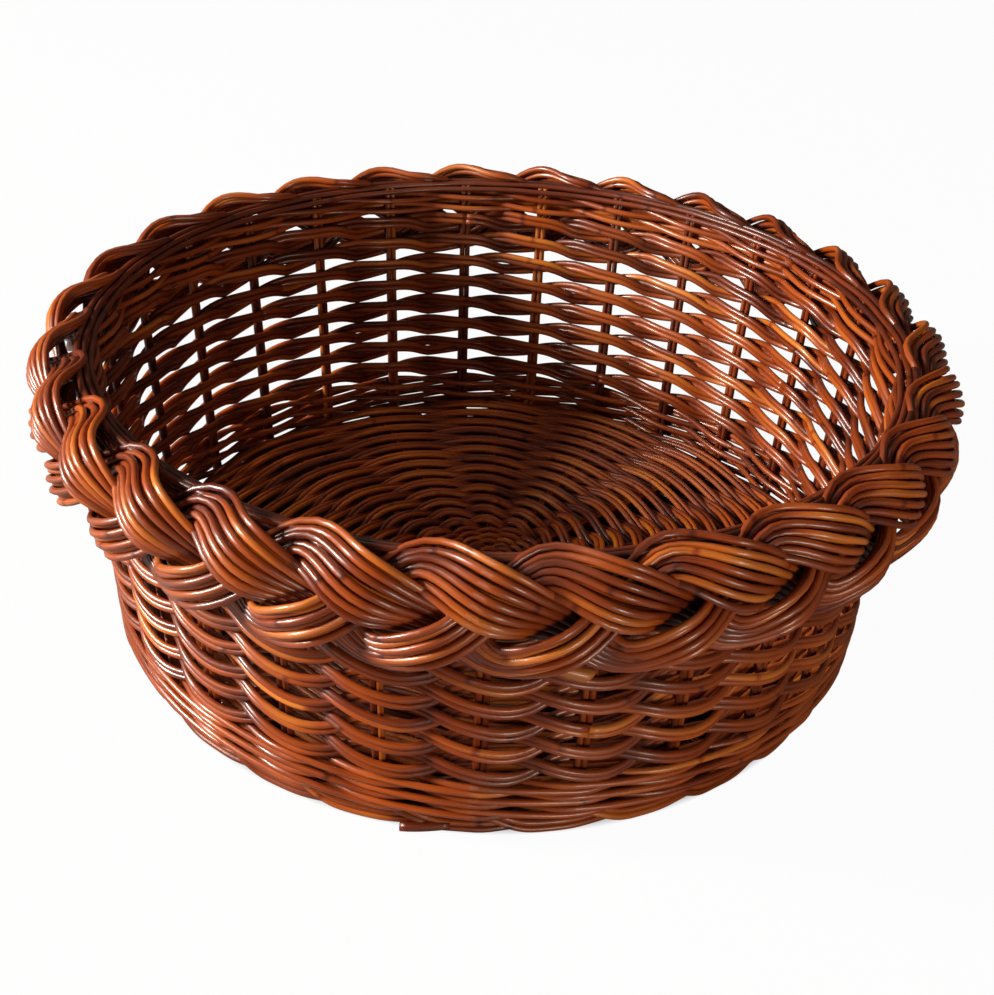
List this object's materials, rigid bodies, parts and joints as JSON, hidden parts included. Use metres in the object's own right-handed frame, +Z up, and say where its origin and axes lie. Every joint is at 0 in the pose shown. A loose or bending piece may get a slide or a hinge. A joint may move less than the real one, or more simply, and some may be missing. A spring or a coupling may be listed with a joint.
{
  "type": "rattan basket",
  "caption": "Round open basket woven from stained rods, with a see-through wall, a flat woven base and a thick plaited rim.",
  "frame": {"origin": "on the floor, in the middle of the foot", "axes": "+Z up through the basket's middle; -Y is the side that faces the picture's camera; +X is that view's right"},
  "size_m": [0.3326, 0.3329, 0.1223],
  "materials": {
    "stakes": "red-brown stained rattan, satin varnish",
    "weavers": "red-brown stained rattan, glossy varnish",
    "wales": "orange-brown stained rattan, glossy varnish",
    "plait": "red-brown stained rattan, glossy varnish",
    "rim_rods": "red-brown stained rattan, glossy varnish",
    "base": "brown stained rattan, satin varnish",
    "spokes": "brown stained rattan, satin varnish",
    "foot": "dark red-brown stained rattan, satin varnish",
    "cut_ends": "orange-brown rod with a bare slanted cut"
  },
  "bodies": {
    "root": {"foot_border": "foot", "stake_01": "stakes", "stake_02": "stakes", "stake_03": "stakes", "stake_04": "stakes", "stake_05": "stakes", "stake_06": "stakes", "stake_07": "stakes", "stake_08": "stakes", "stake_09": "stakes", "stake_10": "stakes", "stake_11": "stakes", "stake_12": "stakes", "stake_13": "stakes", "stake_14": "stakes", "stake_15": "stakes", "stake_16": "stakes", "stake_17": "stakes", "stake_18": "stakes", "stake_19": "stakes", "stake_20": "stakes", "stake_21": "stakes", "stake_22": "stakes", "stake_23": "stakes", "stake_24": "stakes", "stake_25": "stakes", "stake_26": "stakes", "stake_27": "stakes", "bottom_wale_1": "wales", "bottom_wale_2": "wales", "bottom_wale_3": "wales", "weaver_row_01": "weavers", "weaver_row_02": "weavers", "weaver_row_03": "weavers", "weaver_row_04": "weavers", "weaver_row_05": "weavers", "weaver_row_06": "weavers", "weaver_row_07": "weavers", "weaver_row_08": "weavers", "weaver_row_09": "weavers", "weaver_row_10": "weavers", "weaver_row_11": "weavers", "weaver_row_12": "weavers", "weaver_row_13": "weavers", "weaver_row_14": "weavers", "weaver_row_15": "weavers", "weaver_row_16": "weavers", "weaver_row_17": "weavers", "top_wale_1": "wales", "top_wale_2": "wales", "base_spokes": "spokes", "base_weaver": "base", "rim_core": "rim_rods", "plait_strand_1": "plait", "plait_strand_2": "plait", "plait_strand_3": "plait", "rod_end_rim": "cut_ends", "rod_end_foot": "cut_ends"}
  },
  "joints": []
}
